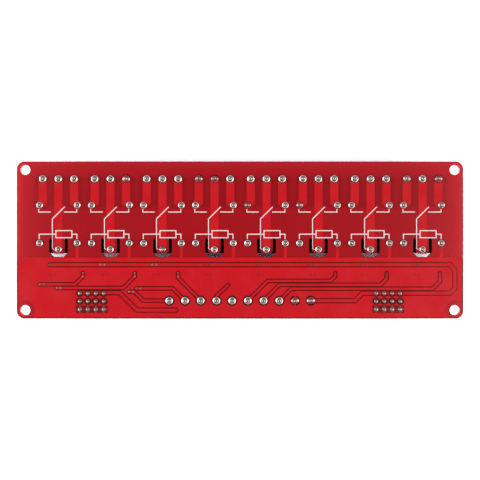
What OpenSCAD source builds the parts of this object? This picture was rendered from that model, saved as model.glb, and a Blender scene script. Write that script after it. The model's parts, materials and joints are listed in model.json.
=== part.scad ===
// Eight-channel relay module board, millimetres.
// The solder side faces +Z and is the plane z = 0; every component hangs below the board.
// The origin is the centre of the four mounting holes, +X runs along the board, and +Y points
// to the output terminals.

/* [Board] */
// Length of the board, along X
board_l = 142; // [141:0.1:150]
// Width of the board, along Y
board_w = 50; // [50:0.1:54]
// Thickness of the laminate
board_t = 1.6; // [1:0.1:2.4]
// Radius of the board's corners
corner_r = 2.4; // [1:0.1:3]
// Distance from the mounting holes to the two edges beside each
hole_inset = 2.7; // [2.3:0.1:3]
// Diameter of the mounting holes
hole_d = 3.2; // [2.4:0.1:3.4]

/* [Relays] */
// Distance between neighbouring channels
channel_pitch = 16.55; // [16:0.05:16.7]
// Offset of the row of channels from the middle of the board, along X
channel_shift = 0.15; // [-0.3:0.05:0.3]
// Length of a relay case, along Y
relay_l = 19.2; // [18.6:0.1:19.6]
// Width of a relay case, along X
relay_w = 15.4; // [15:0.1:15.8]
// Height of a relay above the board
relay_h = 15.3; // [14:0.1:20]
// Wall of a relay case
relay_wall = 0.8; // [0.5:0.1:1.2]
// Radius of the case's moulded edges
relay_edge_r = 0.7; // [0.3:0.1:1]
// Height of the feet that hold the case off the board
relay_seat = 0.3; // [0.2:0.1:0.8]
// Thickness of the base plate that closes a case
relay_base_t = 1.8; // [1.2:0.1:3]
// Distance between the two coil pins, and between the two contact pins
relay_span = 12; // [11.4:0.1:12.2]
// Distance from the common pin to the coil pins, along Y
coil_step = 2; // [2:0.1:2.4]
// Distance from the coil pins to the contact pins, along Y
contact_step = 12.1; // [11.6:0.1:12.4]
// Distance from the common pin to the end of the case
relay_end = 1.2; // [1.2:0.1:1.8]
// Distance from the output pins to the contact pins, along Y
output_step = 8.38; // [8.3:0.02:9]
// Diameter of the three contact pins
contact_d = 0.9; // [0.7:0.1:1]
// Diameter of the two coil pins
coil_d = 0.7; // [0.5:0.1:0.9]

/* [Isolation slots] */
// Width of the milled slot round a common pin
slot_w = 1; // [0.8:0.1:1.2]
// Distance from the common pin to the slot's two arms
slot_side = 2.5; // [2.4:0.1:2.8]
// Distance from the common pin to the slot's closed end
slot_below = 1.87; // [1.87:0.01:1.9]
// Height of the arms above the common pin
slot_above = 3.1; // [2.6:0.1:3.2]
// Length cut off the slot's two corners
slot_corner = 1.1; // [0.8:0.1:1.4]

/* [Screw terminals] */
// Distance between neighbouring wires
term_pitch = 5; // [5:0.02:5.08]
// Depth of a housing, along Y
term_depth = 7.8; // [7.8:0.1:8.4]
// Height of a housing
term_h = 10; // [9.6:0.1:13]
// Distance from the output pins to the board's edge
output_inset = 5.52; // [5:0.02:6]
// Distance from the input pins to the board's edge
input_inset = 5.7; // [5.4:0.1:6.1]
// Wall between two neighbouring wires
term_wall = 1; // [0.8:0.05:1.2]
// Width of a wire entry
entry_w = 3.2; // [2.8:0.1:3.4]
// Height of a wire entry
entry_h = 4; // [3.4:0.1:4.2]
// Height of the floor below the clamps
term_floor = 1.1; // [0.9:0.1:1.3]
// Thickness of a clamp's metal
clamp_t = 0.6; // [0.5:0.05:0.8]
// Diameter of a clamp screw's head
screw_head_d = 3.4; // [3:0.1:3.5]
// Diameter of a clamp screw's shank
screw_d = 2.4; // [2:0.1:2.6]
// Diameter of a terminal pin
term_pin_d = 1; // [0.8:0.1:1.1]

/* [Jumper blocks] */
// Distance between neighbouring header pins
header_pitch = 2.54; // [2.5:0.01:2.58]
// Distance from the board's centre to each block's centre
header_x = 47.15; // [46:0.05:48]
// Distance from the board's edge to the nearest row of header pins
header_inset = 3; // [2.6:0.1:3.2]
// Height of the insulator
header_h = 2.5; // [2:0.1:3]
// Width of a header pin, measured across its flats
header_pin_w = 0.64; // [0.5:0.02:0.7]
// Length of a header pin beyond the insulator
header_pin_h = 6; // [5:0.1:7]
// Height of a jumper cap
cap_h = 6.6; // [5.6:0.1:7.6]

/* [Copper] */
// Thickness of the foil with its mask
foil_t = 0.05; // [0.04:0.01:0.1]
// Width of the strips between relays and output terminals
strip_w = 2.65; // [2.45:0.05:2.7]
// Distance from the contact pins to where the outer strips turn
strip_turn = 1; // [0.8:0.05:1.4]
// Width of a signal track
track_w = 0.75; // [0.6:0.05:0.9]
// Width of a supply track and of the coil feeds
supply_w = 1; // [0.8:0.05:1.1]
// Gap between a track or pad and the ground pour
track_gap = 0.35; // [0.25:0.05:0.4]
// Distance from the pour to the board's edges
pour_inset = 0.7; // [0.5:0.05:1]
// Distance from the common pins to the pour's upper edge
pour_drop = 2.55; // [2.5:0.05:2.8]
// Radius kept bare round the two mounting holes beside the pour
bare_r = 3.1; // [2.8:0.1:3.3]
// Diameter of a via
via_d = 0.6; // [0.4:0.05:0.8]

/* [Solder] */
// Radius of the pads at the output terminals
output_pad_r = 1.35; // [1.35:0.05:1.5]
// Radius of the pads at the relays
relay_pad_r = 1.2; // [1:0.05:1.3]
// Radius of the pads at the input terminal
input_pad_r = 1.25; // [1.1:0.05:1.4]
// Radius of the pads at the jumper blocks
header_pad_r = 0.85; // [0.7:0.05:0.9]
// Height of the larger solder joints
joint_h = 1; // [0.8:0.1:1.8]
// Height of the solder joints at the jumper blocks
header_joint_h = 0.7; // [0.6:0.1:1.2]
// Length of pin that stands out of a joint
pin_tip = 0.25; // [0.2:0.05:0.6]

/* [Printed symbol] */
// Width of the printed lines
print_w = 0.3; // [0.3:0.05:0.5]
// Width of the line that runs beside a slot
thin_w = 0.18; // [0.15:0.01:0.24]
// Thickness of the printed lines
print_t = 0.03; // [0.02:0.01:0.05]

/* [Hidden] */
$fn = 40;
eps = 0.01;
channels = 8;
input_ways = 10;
per_block = 4;

// Rows of pins, along Y
output_y = board_w / 2 - output_inset;
contact_y = output_y - output_step;
coil_y = contact_y - contact_step;
com_y = coil_y - coil_step;
input_y = -board_w / 2 + input_inset;
header_y = -board_w / 2 + header_inset;
relay_y0 = com_y - relay_end;
pour_y = com_y - pour_drop;
hole_x = board_l / 2 - hole_inset;
hole_y = board_w / 2 - hole_inset;
under = -board_t;

// Places of the parts that repeat
function channel_x(i) = channel_shift + (i - (channels + 1) / 2) * channel_pitch;
function way_x(i, n) = (i - (n + 1) / 2) * term_pitch;
function header_col(side, i) = side * header_x + (i - (per_block + 1) / 2) * header_pitch;
header_rows = [for (j = [0:2]) header_y + j * header_pitch];
output_pins = [for (c = [1:channels], k = [-1:1]) [channel_x(c) + k * term_pitch, output_y]];
contact_pins = [for (c = [1:channels]) each [
    [channel_x(c) - relay_span / 2, contact_y],
    [channel_x(c) + relay_span / 2, contact_y],
    [channel_x(c), com_y]]];
coil_pins = [for (c = [1:channels], s = [-1, 1]) [channel_x(c) + s * relay_span / 2, coil_y]];
input_pins = [for (i = [1:input_ways]) [way_x(i, input_ways), input_y]];
header_pins = [for (s = [-1, 1], i = [1:per_block], y = header_rows) [header_col(s, i), y]];
ground_pins = [for (s = [-1, 1], i = [1:per_block]) [header_col(s, i), header_rows[0]]];
ground_way = [way_x(9, input_ways), input_y];
pin_clear = 0.15;

// Left normal of a direction, and a route's corner moved sideways by d along its mitre
function unit(v) = v / norm(v);
function left(v) = [-v[1], v[0]];
function mitre(p, i, d) =
    let (a = unit(i == 0 ? p[1] - p[0] : p[i] - p[i - 1]),
         b = i == 0 || i == len(p) - 1 ? a : unit(p[i + 1] - p[i]),
         n = unit(left(a) + left(b)))
    p[i] + n * d / (n * left(a));

// Levels and columns that the signal tracks follow
bus_y = pour_y - 2.3;
via_y = pour_y - 4.95;
top_row = header_rows[2];
row_y = top_row + 0.15;
function way(i) = way_x(i, input_ways);
left_x = -board_l / 2 + 7.2;
right_x = board_l / 2 - 4.25;
tracks = [
    // supply, round the right-hand jumper block to the last input way
    [[channel_x(1) - 2.7, bus_y], [right_x, bus_y], [right_x + 1.6, bus_y - 1.6],
     [right_x + 1.6, top_row + 1.6], [right_x, top_row],
     [header_x - 8.2, top_row], [header_x - 8.2 - (top_row - input_y), input_y],
     [way(10), input_y]],
    // between the first two channels
    [[left_x, input_y + 5.2], [channel_x(1) + 5.3, input_y + 5.2],
     [channel_x(1) + 7.8, input_y + 7.7], [channel_x(1) + 7.8, via_y]],
    [[channel_x(1) - 0.6, input_y + 4.05], [channel_x(3) - 12.45, input_y + 4.05],
     [channel_x(3) - 8.8, input_y + 7.7], [channel_x(3) - 8.8, via_y]],
    // common row of the left-hand jumper block to the supply way
    [[header_col(-1, 1), row_y], [-header_x + 8.85, row_y],
     [-header_x + 8.85 + row_y - (input_y - 3), input_y - 3], [way(1) + 2.1, input_y - 3]],
    // inputs to their channels
    [[channel_x(2) + 5.9, input_y + 2.85], [channel_x(2) + 7.6, input_y + 2.85],
     [channel_x(2) + 10.45, input_y], [way(1), input_y]],
    [[channel_x(2) + 8.2, input_y + 3.9], [way(2) - 3.9, input_y + 3.9], [way(2), input_y]],
    [[channel_x(3) + 5, via_y], [channel_x(3) + 5, input_y + 7.3], [way(3), input_y]],
    [[channel_x(4) + 4.4, input_y + 5], [way(4), input_y + 1.5], [way(4), input_y]],
    [[way(6), input_y], [way(6) + 6.3, input_y + 6.3], [channel_x(6) + 3.9, input_y + 6.3],
     [channel_x(6) + 5.3, input_y + 7.7], [channel_x(6) + 5.3, via_y]],
    [[way(7), input_y], [way(7) + 5.05, input_y + 5.05], [channel_x(7) + 3.2, input_y + 5.05],
     [channel_x(7) + 5.1, input_y + 6.95], [channel_x(7) + 5.1, via_y]],
    [[way(8), input_y], [way(8) + 3.8, input_y + 3.8], [channel_x(8) + 3.2, input_y + 3.8],
     [channel_x(8) + 5.5, input_y + 6.1], [channel_x(8) + 5.5, via_y]]
];
// The first and fourth carry the supply
function width(i) = i == 0 || i == 3 ? supply_w : track_w;

// ---- Shapes used more than once ----

// Rectangle about the origin with rounded corners
module rounded(l, w, r) {
    square([l - 2 * r, w], center = true);
    square([l, w - 2 * r], center = true);
    for (x = [-1, 1], y = [-1, 1]) translate([x * (l / 2 - r), y * (w / 2 - r)]) circle(r);
}

// Band of width w along a route, mitred at its corners
module band(p, w)
    polygon([for (i = [0:len(p) - 1]) mitre(p, i, -w / 2),
             for (i = [len(p) - 1:-1:0]) mitre(p, i, w / 2)]);

// The same band with round ends, a hair narrower than the band so that the outlines cross
module stroke(p, w) {
    band(p, w);
    for (q = [p[0], p[len(p) - 1]]) translate(q) circle(d = w - 2 * eps);
}

// Slot round a common pin, which stands at the origin
module com_slot()
    stroke([[-slot_side, slot_above], [-slot_side, -slot_below + slot_corner],
            [-slot_side + slot_corner, -slot_below], [slot_side - slot_corner, -slot_below],
            [slot_side, -slot_below + slot_corner], [slot_side, slot_above]], slot_w);

module at(points) for (p = points) translate(p) children();

module per_channel() for (c = [1:channels]) translate([channel_x(c), 0]) children();

// ---- Board ----

module pcb()
    color([0.62, 0.08, 0.11])
    translate([0, 0, under]) linear_extrude(board_t) difference() {
        rounded(board_l, board_w, corner_r);
        for (x = [-1, 1], y = [-1, 1]) translate([x * hole_x, y * hole_y]) circle(d = hole_d);
        per_channel() translate([0, com_y]) com_slot();
        at(concat(output_pins, input_pins)) circle(d = term_pin_d + 2 * pin_clear);
        at(contact_pins) circle(d = contact_d + 2 * pin_clear);
        at(coil_pins) circle(d = coil_d + 2 * pin_clear);
        at(header_pins) circle(d = header_pin_w * sqrt(2) + 2 * pin_clear);
    }

// Pads: round, apart from the square ones that join the jumper blocks to ground
module pads()
    color([0.72, 0.7, 0.66]) linear_extrude(foil_t) {
        at(output_pins) pad(output_pad_r, term_pin_d);
        at(input_pins) pad(input_pad_r, term_pin_d);
        at(contact_pins) pad(relay_pad_r, contact_d);
        at(coil_pins) pad(relay_pad_r, coil_d);
        for (s = [-1, 1], i = [1:per_block], j = [1, 2])
            translate([header_col(s, i), header_rows[j]]) pad(header_pad_r, header_pin_w * sqrt(2));
        at(ground_pins) difference() {
            square(2 * header_pad_r, center = true);
            circle(d = header_pin_w * sqrt(2) + 2 * pin_clear);
        }
    }

module pad(r, pin)
    difference() {
        circle(r);
        circle(d = pin + 2 * pin_clear);
    }

// Three strips a channel: the outer two turn aside to a contact pin, and the middle one runs
// down to the common pin
module strips_plan()
    difference() {
        per_channel() {
            for (s = [-1, 1])
                strip([[s * term_pitch, output_y], [s * term_pitch, contact_y + strip_turn],
                       [s * relay_span / 2, contact_y]]);
            strip([[0, output_y], [0, com_y]]);
        }
        at(output_pins) circle(output_pad_r);
        at(contact_pins) circle(relay_pad_r);
    }

module strip(route) {
    band(route, strip_w);
    translate(route[len(route) - 1]) circle(d = strip_w - 2 * eps);
}

module contact_strips() color([0.8, 0.13, 0.16]) linear_extrude(foil_t) strips_plan();

module tracks_plan()
    difference() {
        for (i = [0:len(tracks) - 1]) stroke(tracks[i], width(i));
        at(input_pins) circle(input_pad_r);
        for (s = [-1, 1], i = [1:per_block])
            translate([header_col(s, i), top_row]) circle(header_pad_r);
    }

module signal_tracks() color([0.8, 0.13, 0.16]) linear_extrude(foil_t) tracks_plan();

// Ground pour with the coil feeds that rise from it; four spokes join each grounded pad
module ground_pour()
    color([0.8, 0.13, 0.16]) linear_extrude(foil_t) difference() {
        union() {
            pour_area();
            intersection() {
                per_channel() translate([relay_span / 2 - supply_w / 2, pour_y - eps])
                    square([supply_w, coil_y - pour_y]);
                square([board_l - 2 * pour_inset, board_w], center = true);
            }
        }
        for (i = [0:len(tracks) - 1]) stroke(tracks[i], width(i) + 2 * track_gap);
        for (i = [1:input_ways]) if (i != 9)
            translate([way(i), input_y]) circle(input_pad_r + track_gap);
        for (s = [-1, 1], i = [1:per_block], j = [1, 2])
            translate([header_col(s, i), header_rows[j]]) circle(header_pad_r + track_gap);
        at(ground_pins) relief(header_pad_r, true);
        translate(ground_way) relief(input_pad_r, false);
        at(coil_pins) circle(relay_pad_r);
        for (x = [-1, 1]) translate([x * hole_x, -hole_y]) circle(bare_r);
    }

module pour_area() {
    bottom = -board_w / 2 + pour_inset;
    half = board_l / 2 - pour_inset;
    translate([0, (pour_y + bottom) / 2]) rounded(2 * half, pour_y - bottom, 1.2);
}

// Thermal relief: the gap round a grounded pad, crossed by four spokes
module relief(r, is_square)
    difference() {
        if (is_square) square(2 * (r + track_gap), center = true);
        else circle(r + track_gap);
        difference() {
            union() {
                square([4 * r, 0.5], center = true);
                square([0.5, 4 * r], center = true);
            }
            if (is_square) square(2 * r, center = true);
            else circle(r);
        }
    }

// Vias: one at the end of each track that leaves this side, and pairs by each channel
via_places = concat(
    [for (p = [tracks[1], tracks[2], tracks[6], tracks[8], tracks[9], tracks[10]])
        each let (e = p[0][1] > p[len(p) - 1][1] ? p[0] : p[len(p) - 1]) [e, e - [0, 1.1]]],
    [for (p = [tracks[1], tracks[2], tracks[4], tracks[5], tracks[7]])
        each let (d = unit(p[1] - p[0])) [p[0], p[0] + d * 1.3]],
    [for (c = [1:channels], d = [-3.2, -1.9]) [channel_x(c) + d, bus_y]],
    [for (c = [1:channels], d = [-2.6, -1.2]) [channel_x(c) + d, bus_y - 3.15]]);

module vias()
    color([0.55, 0.3, 0.3]) translate([0, 0, foil_t]) linear_extrude(print_t)
        at(via_places) circle(d = via_d);

// Printed relay symbol, drawn from the common pin: two contacts, the arm, and the coil's box
module symbol_plan() {
    h = relay_span / 2;
    top = coil_step + contact_step;
    level = top - 2.2;
    coil = coil_step + 2.85;
    off_pad = relay_pad_r + print_w / 2 + 0.05;
    stroke([[-h - 0.25, top - off_pad], [-h - 0.25, level], [-2.55, level]], print_w);
    stroke([[h - 0.15, top - off_pad], [h - 0.15, level], [1.9, level]], print_w);
    stroke([[1.95, top - 0.6], [-1.9, level - 2.18], [-1.9, coil]], print_w);
    stroke([[-1.88, coil], [-1.88, 0.3], [-off_pad, 0]], thin_w);
    stroke([[-h - 0.1, coil_step + off_pad], [-h - 0.1, coil], [-0.8, coil]], print_w);
    stroke([[4.3, coil], [h - 0.1, coil], [h - 0.1, coil_step + off_pad]], print_w);
    translate([1.75, coil]) difference() {
        square([5.1 + print_w, 2.25 + print_w], center = true);
        square([5.1 - print_w, 2.25 - print_w], center = true);
    }
}

module printed_symbols()
    color([0.95, 0.93, 0.93]) difference() {
        linear_extrude(foil_t + print_t) difference() {
            per_channel() translate([0, com_y]) symbol_plan();
            per_channel() translate([0, com_y]) com_slot();
        }
        translate([0, 0, -eps]) linear_extrude(foil_t + eps) strips_plan();
    }

// ---- Solder joints: a hollow fillet from pad to pin ----

module joint(r, pin_r, h) {
    a = [r, 0.12];
    b = [pin_r + 0.12, h];
    curve = 1.15 * norm(b - a);
    middle = (a + b) / 2;
    centre = middle - left(unit(b - a)) * sqrt(curve * curve - norm(b - a) * norm(b - a) / 4);
    translate([0, 0, foil_t]) rotate_extrude() difference() {
        polygon([[pin_r, 0], [r, 0], a, b, [pin_r, h]]);
        translate(centre) circle(curve, $fn = 90);
    }
}

module solder_outputs() color([0.75, 0.75, 0.76]) at(output_pins)
    joint(output_pad_r, term_pin_d / 2, joint_h);

module solder_inputs() color([0.75, 0.75, 0.76]) at(input_pins)
    joint(input_pad_r, term_pin_d / 2, joint_h);

module solder_relays() color([0.75, 0.75, 0.76]) {
    at(contact_pins) joint(relay_pad_r, contact_d / 2, joint_h);
    at(coil_pins) joint(relay_pad_r, coil_d / 2, joint_h);
}

module solder_headers() color([0.75, 0.75, 0.76]) at(header_pins)
    joint(header_pad_r, header_pin_w / sqrt(2), header_joint_h);

// ---- Relays ----

// Block with rounded upright edges and a rounded far end, its mouth at z = 0
module moulded_block(w, l, h, r)
    intersection() {
        translate([0, 0, -h]) linear_extrude(h) rounded(w, l, r);
        rotate([90, 0, 0]) linear_extrude(l + 2, center = true) mouth_profile(w, h, r);
        rotate([90, 0, 90]) linear_extrude(w + 2, center = true) mouth_profile(l, h, r);
    }

module mouth_profile(w, h, r) {
    translate([-w / 2, -h + r]) square([w, h - r]);
    translate([-w / 2 + r, -h]) square([w - 2 * r, h]);
    for (s = [-1, 1]) translate([s * (w / 2 - r), -h + r]) circle(r);
}

// Moulded case, open towards the board, with a shallow vent mark in its top
module relay_case(i)
    color([0.1, 0.3, 0.72])
    translate([channel_x(i), relay_y0 + relay_l / 2, under - relay_seat]) difference() {
        moulded_block(relay_w, relay_l, relay_h - relay_seat, relay_edge_r);
        translate([-relay_w / 2 + relay_wall, -relay_l / 2 + relay_wall,
                   -relay_h + relay_seat + 1.2])
            cube([relay_w - 2 * relay_wall, relay_l - 2 * relay_wall, relay_h]);
        translate([relay_w / 2 - 2.4, relay_l / 2 - 2.4, -relay_h + relay_seat - eps])
            cylinder(d = 1.8, h = 0.4);
    }

// Base plate inside the mouth of the case, with four feet on the board and a hole for each pin
module relay_base(i)
    color([0.12, 0.14, 0.2]) {
        inner_w = relay_w - 2 * relay_wall;
        inner_l = relay_l - 2 * relay_wall;
        recess = 0.2;
        translate([channel_x(i), 0, under]) difference() {
            translate([0, relay_y0 + relay_l / 2, 0]) {
                translate([-inner_w / 2, -inner_l / 2, -relay_seat - recess - relay_base_t])
                    cube([inner_w, inner_l, relay_base_t]);
                for (x = [-1, 1], y = [-1, 1])
                    translate([x * (inner_w / 2 - 0.9), y * (inner_l / 2 - 4), 0])
                        translate([-0.6, -0.6, -relay_seat - recess - eps])
                            cube([1.2, 1.2, relay_seat + recess + eps]);
            }
            relay_pin_places(contact_d) translate([0, 0, -relay_base_t - 3])
                cylinder(d = contact_d, h = relay_base_t + 4);
            relay_pin_places(coil_d, true) translate([0, 0, -relay_base_t - 3])
                cylinder(d = coil_d, h = relay_base_t + 4);
        }
    }

// Pin places of one relay: the three contacts, or the two coil pins
module relay_pin_places(d, coil = false)
    if (coil) at([for (s = [-1, 1]) [s * relay_span / 2, coil_y]]) children();
    else {
        at([for (s = [-1, 1]) [s * relay_span / 2, contact_y]]) children();
        translate([0, com_y]) children();
    }

module relay_pins() color([0.8, 0.78, 0.72]) {
    at(contact_pins) pin(contact_d, relay_seat + relay_base_t + 1);
    at(coil_pins) pin(coil_d, relay_seat + relay_base_t + 1);
}

// Round pin from a depth below the board to just above its joint, with a chamfered tip
module pin(d, depth) {
    top = foil_t + joint_h + pin_tip;
    chamfer = 0.15;
    translate([0, 0, under - depth]) cylinder(d = d, h = depth + board_t + top - chamfer);
    translate([0, 0, top - chamfer]) cylinder(d1 = d, d2 = d - 2 * chamfer, h = chamfer);
}

// ---- Screw terminals. Each is drawn with its pins on the line y = 0, its wire entries facing
// +Y and its seat at z = 0, hanging down ----

pocket_w = term_pitch - term_wall;
pocket_y0 = -2.5;
pocket_l = 4.9;
clamp_w = pocket_w - 0.3;
clamp_h = entry_h + 2 * clamp_t;
clamp_y0 = pocket_y0 + 0.15;
clamp_l = pocket_l - 0.3;

module output_place(i) translate([channel_x(i), output_y, under]) children();
module input_place() translate([0, input_y, under]) rotate([0, 0, 180]) children();

// Side profile: upright front with a lip over the wire entries, stepped and sloping back
module term_profile()
    polygon([[-term_depth / 2, 0], [term_depth / 2, 0], [term_depth / 2, -0.62 * term_h],
             [term_depth / 2 - 0.5, -0.68 * term_h], [term_depth / 2 - 0.9, -term_h + 0.4],
             [term_depth / 2 - 1.3, -term_h], [-term_depth / 2 + 1.9, -term_h],
             [-term_depth / 2 + 1.5, -term_h + 0.4], [-term_depth / 2 + 1.1, -0.74 * term_h],
             [-term_depth / 2, -0.62 * term_h]]);

module term_housing(n) {
    w = n * term_pitch;
    difference() {
        union() {
            translate([-w / 2, 0, 0]) rotate([90, 0, 90]) linear_extrude(w) term_profile();
            // ribs that key into the next block
            for (z = [-2.2, -5]) translate([-w / 2 - 0.5, -2.6, z - 0.6]) cube([0.5, 1, 1.2]);
        }
        for (z = [-2.2, -5]) translate([w / 2 - 0.6, -2.75, z - 0.75]) cube([0.7, 1.3, 1.5]);
        for (i = [1:n]) translate([way_x(i, n), 0, 0]) {
            // pocket for the clamp
            translate([-pocket_w / 2, pocket_y0, -term_floor - clamp_h - 0.2])
                cube([pocket_w, pocket_l, clamp_h + 0.2]);
            // wire entry, with a sloping lead-in
            translate([-entry_w / 2, 0, -term_floor - clamp_t - entry_h])
                cube([entry_w, term_depth, entry_h]);
            translate([0, term_depth / 2, -term_floor - clamp_t - entry_h / 2])
                lead_in(entry_w, entry_h);
            // screw access from the top, and the hole for the pin
            translate([0, 0, -term_h - 1]) cylinder(d = screw_head_d + 0.3, h = term_h - 2);
            translate([0, 0, -term_floor - 1]) cylinder(d = term_pin_d, h = term_floor + 2);
        }
    }
}

// Four chamfers round a wire entry, cut into the housing's front
module lead_in(w, h) {
    c = 0.4;
    translate([-w / 2, 0, 0]) rotate([90, 0, 90]) linear_extrude(w)
        polygon([[-c, -h / 2], [eps, -h / 2 - c], [eps, h / 2 + c], [-c, h / 2]]);
    translate([0, 0, -h / 2]) linear_extrude(h)
        polygon([[-w / 2, -c], [-w / 2 - c, eps], [w / 2 + c, eps], [w / 2, -c]]);
}

// Metal cage that the screw draws up, open towards the wire entry
module clamp()
    translate([0, 0, -term_floor - clamp_h]) difference() {
        translate([-clamp_w / 2, clamp_y0, 0]) cube([clamp_w, clamp_l, clamp_h]);
        translate([-clamp_w / 2 + clamp_t / 2, clamp_y0 - 1, clamp_t])
            cube([clamp_w - clamp_t, clamp_l + 2, clamp_h - 2 * clamp_t]);
        translate([0, 0, -1]) cylinder(d = screw_d, h = clamp_t + 2);
        translate([0, 0, clamp_h - clamp_t - 1]) cylinder(d = term_pin_d, h = clamp_t + 2);
    }

// Slotted clamp screw, reaching into the cage from the housing's top
module clamp_screw() {
    head_h = 1.3;
    seat_z = -term_floor - clamp_h;
    translate([0, 0, seat_z - 0.6]) cylinder(d = screw_d, h = clamp_t + 1.6);
    translate([0, 0, seat_z - 0.6 - head_h]) difference() {
        cylinder(d = screw_head_d, h = head_h);
        translate([-0.3, -screw_head_d, -eps]) cube([0.6, 2 * screw_head_d, 0.6]);
    }
}

// Contact blade on the cage's floor with its pin through the board
module term_pin() {
    blade_t = 0.5;
    blade_w = clamp_w - clamp_t - 0.2;
    translate([-blade_w / 2, clamp_y0 + 0.3, -term_floor - clamp_t - blade_t])
        cube([blade_w, clamp_l - 0.6, blade_t]);
    translate([0, 0, board_t]) pin(term_pin_d, term_floor + clamp_t + eps);
}

module output_housing(i) color([0.09, 0.36, 0.66]) output_place(i) term_housing(3);
module input_housing() color([0.09, 0.36, 0.66]) input_place() term_housing(input_ways);

module output_ways()
    for (c = [1:channels], k = [1:3]) output_place(c) translate([way_x(k, 3), 0, 0]) children();
module input_ways_at()
    input_place() for (k = [1:input_ways]) translate([way_x(k, input_ways), 0, 0]) children();

module output_clamps() color([0.78, 0.76, 0.7]) output_ways() clamp();
module output_screws() color([0.82, 0.82, 0.82]) output_ways() clamp_screw();
module output_legs() color([0.78, 0.76, 0.72]) output_ways() term_pin();
module input_clamps() color([0.78, 0.76, 0.7]) input_ways_at() clamp();
module input_screws() color([0.82, 0.82, 0.82]) input_ways_at() clamp_screw();
module input_legs() color([0.78, 0.76, 0.72]) input_ways_at() term_pin();

// ---- Jumper blocks ----

// Insulator: a cell with cut corners round each pin
module header_base(side)
    color([0.08, 0.08, 0.08]) translate([0, 0, under - header_h]) linear_extrude(header_h)
    difference() {
        for (i = [1:per_block], y = header_rows) translate([header_col(side, i), y])
            cut_rectangle(header_pitch, header_pitch, 0.4);
        for (i = [1:per_block], y = header_rows) translate([header_col(side, i), y])
            square(header_pin_w, center = true);
    }

// Square pin with both ends cut to a blunt point
module square_pin(w, z0, z1) {
    c = 0.2;
    profile = [[-w / 2 + c, z0], [w / 2 - c, z0], [w / 2, z0 + 2 * c], [w / 2, z1 - 2 * c],
               [w / 2 - c, z1], [-w / 2 + c, z1], [-w / 2, z1 - 2 * c], [-w / 2, z0 + 2 * c]];
    intersection() {
        rotate([90, 0, 0]) linear_extrude(w, center = true) polygon(profile);
        rotate([90, 0, 90]) linear_extrude(w, center = true) polygon(profile);
    }
}

module header_pin_set() color([0.8, 0.7, 0.4]) at(header_pins)
    square_pin(header_pin_w, under - header_h - header_pin_h,
               foil_t + header_joint_h + pin_tip);

// Cap that joins two of a column's three pins, with a grip slot across its top
module jumper_cap(w, l) {
    c = 0.35;
    difference() {
        translate([0, 0, -cap_h]) linear_extrude(cap_h) cut_rectangle(w, l, c);
        for (s = [-1, 1]) translate([0, s * header_pitch / 2, 0])
            cube([header_pin_w + 0.3, header_pin_w + 0.3, 2 * (header_pin_h + 0.2)], center = true);
        translate([0, 0, -cap_h]) cube([2 * w, 1.2, 1], center = true);
    }
}

module cut_rectangle(w, l, c)
    polygon([[-w / 2 + c, -l / 2], [w / 2 - c, -l / 2], [w / 2, -l / 2 + c], [w / 2, l / 2 - c],
             [w / 2 - c, l / 2], [-w / 2 + c, l / 2], [-w / 2, l / 2 - c], [-w / 2, -l / 2 + c]]);

module jumper_caps(side)
    color([0.1, 0.1, 0.11]) for (i = [1:per_block])
        translate([header_col(side, i), (header_rows[0] + header_rows[1]) / 2, under - header_h])
            jumper_cap(header_pitch - 0.14, 2 * header_pitch - 0.14);

// ---- Surface-mounted parts, one set a channel. Each is drawn at the origin hanging from z = 0 ----

opto_at = [-1.6, bus_y - 3.95];
diode_at = [-4, pour_y - 1];
transistor_at = [1.3, pour_y - 1.3];
led_at = [5.2, pour_y - 1];
resistor_at = [[5.2, pour_y - 3.4], [5.2, pour_y - 5.8], [5.2, pour_y - 8.2]];

module mounted(p) for (c = [1:channels]) translate([channel_x(c) + p[0], p[1], under]) children();

// Bent lead: foot on the board, knee and stub into the body, which ends at x = 0
module gull(w, reach, rise)
    rotate([90, 0, 0]) linear_extrude(w, center = true)
        polygon([[reach, 0], [reach, -0.25], [0.5, -0.25], [0.25, -rise - 0.12], [0, -rise - 0.12],
                 [0, -rise + 0.13], [0.05, -rise + 0.13], [0.3, 0]]);

module drafted(l, w, h, draft)
    intersection() {
        rotate([90, 0, 0]) linear_extrude(w + 1, center = true) drafted_side(l, h, draft);
        rotate([90, 0, 90]) linear_extrude(l + 1, center = true) drafted_side(w, h, draft);
    }

module drafted_side(w, h, d)
    polygon([[-w / 2 + d, -0.1], [w / 2 - d, -0.1], [w / 2, -h / 2], [w / 2 - d, -h],
             [-w / 2 + d, -h], [-w / 2, -h / 2]]);

opto_l = 6.5;
opto_w = 4.6;
opto_h = 3.5;
module opto_bodies() color([0.93, 0.93, 0.9]) mounted(opto_at) difference() {
    drafted(opto_l, opto_w, opto_h, 0.25);
    translate([-opto_l / 2 + 1, opto_w / 2 - 1, -opto_h - 1]) cylinder(d = 0.9, h = 1.15);
}
module opto_leads() color([0.8, 0.8, 0.78]) mounted(opto_at)
    for (s = [0, 180], y = [-1.27, 1.27]) rotate([0, 0, s])
        translate([opto_l / 2, y, 0]) gull(0.9, 1.6, opto_h / 2);

module diode_bodies() color([0.1, 0.1, 0.1]) mounted(diode_at) drafted(4.3, 2.6, 2.1, 0.2);
module diode_tabs() color([0.8, 0.8, 0.78]) mounted(diode_at)
    for (s = [0, 180]) rotate([0, 0, s]) translate([4.3 / 2, 0, 0]) gull(1.4, 0.5, 2.1 / 2);

module transistor_bodies() color([0.12, 0.12, 0.12]) mounted(transistor_at)
    drafted(1.3, 2.9, 1, 0.1);
module transistor_leads() color([0.8, 0.8, 0.78]) mounted(transistor_at) {
    for (y = [-0.95, 0.95]) translate([1.3 / 2, y, 0]) gull(0.4, 0.6, 0.5);
    rotate([0, 0, 180]) translate([1.3 / 2, 0, 0]) gull(0.4, 0.6, 0.5);
}

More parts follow.
